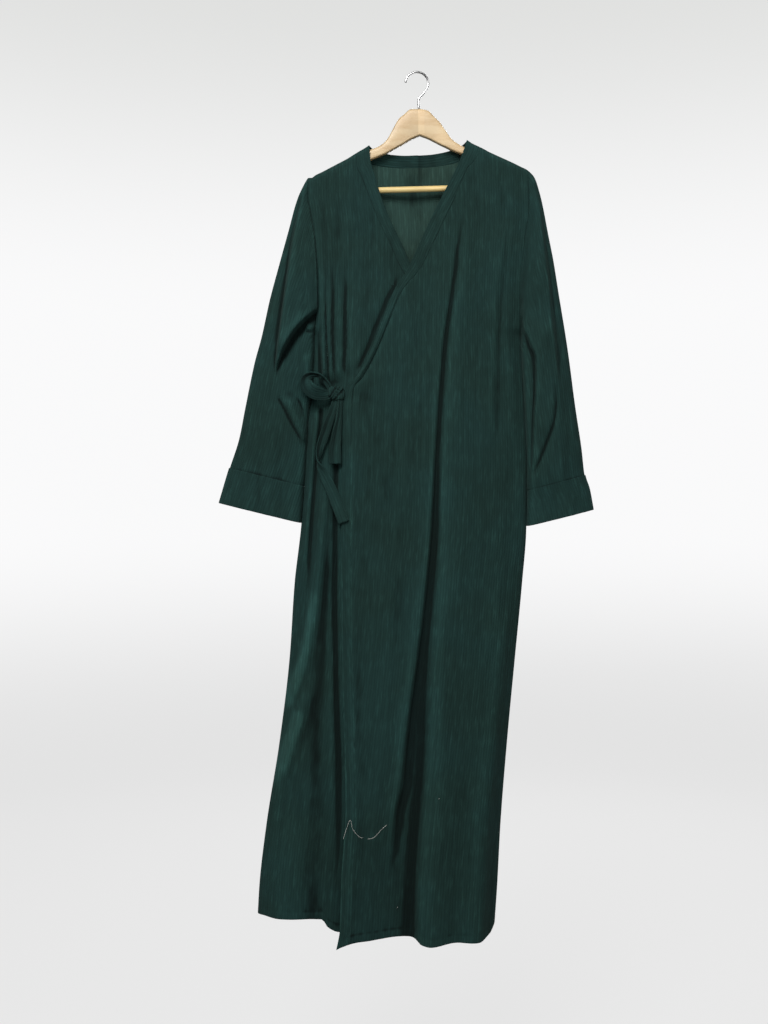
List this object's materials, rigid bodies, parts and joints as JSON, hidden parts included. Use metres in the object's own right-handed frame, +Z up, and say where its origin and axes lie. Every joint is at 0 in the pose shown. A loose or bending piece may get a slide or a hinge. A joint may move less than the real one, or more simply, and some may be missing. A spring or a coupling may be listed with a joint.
{
  "type": "abaya on a hanger",
  "caption": "Long wrap abaya in bottle-green corduroy with wide sleeves, turned cuffs, an edge band and a side tie, hanging on a wooden hanger.",
  "frame": {"origin": "inside top of the hanger's hook, where a rail or peg carries it", "axes": "+X to the viewer's right (the wearer's left), +Y from the front of the garment towards the wall behind it, +Z up"},
  "size_m": [0.695, 0.1332, 1.601],
  "materials": {
    "corduroy": "ribbed cotton pile, matt with a soft nap",
    "wood": "pale beech, clear satin varnish",
    "chrome": "bright plated wire"
  },
  "bodies": {
    "root": {"back": "corduroy", "front_under": "corduroy", "front_over": "corduroy", "neckband_back": "corduroy", "neckband_under": "corduroy", "neckband_over": "corduroy", "sleeve_left": "corduroy", "sleeve_right": "corduroy", "cuff_left": "corduroy", "cuff_right": "corduroy", "tie_knot": "corduroy", "tie_loop": "corduroy", "tie_tail_long": "corduroy", "tie_tail_short": "corduroy", "hanger_arms": "wood", "hanger_bar": "wood", "hanger_hook": "chrome"}
  },
  "joints": []
}
